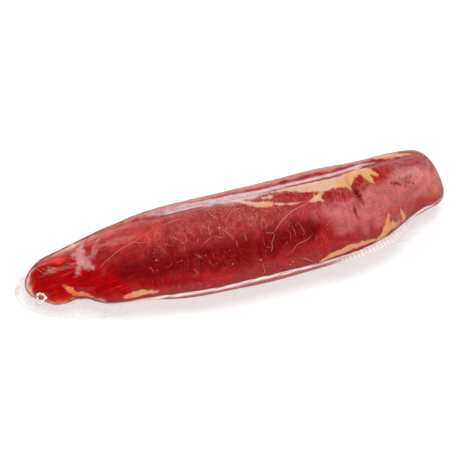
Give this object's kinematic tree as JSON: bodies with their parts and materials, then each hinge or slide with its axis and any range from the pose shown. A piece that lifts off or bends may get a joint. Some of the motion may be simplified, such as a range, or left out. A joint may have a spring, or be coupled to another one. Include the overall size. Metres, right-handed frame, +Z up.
{
  "type": "cured pork tenderloin",
  "caption": "Whole cured pork tenderloin with a thin tapered tail and a blunt head, shrunk tight in a clear vacuum bag with a sealed edge all round.",
  "frame": {"origin": "middle of the whole pack's box, on the surface that it lies on", "axes": "+X along the length towards the blunt head, +Y towards the straighter back edge, +Z up"},
  "size_m": [0.2726, 0.0754, 0.044],
  "materials": {
    "cured_meat": "moist dark red muscle with cream fat, under skin-tight clear film",
    "clear_film": "clear, slightly milky where two sheets are sealed or wrinkled"
  },
  "bodies": {
    "root": {"tenderloin": "cured_meat", "sealed_edge": "clear_film"}
  },
  "joints": []
}
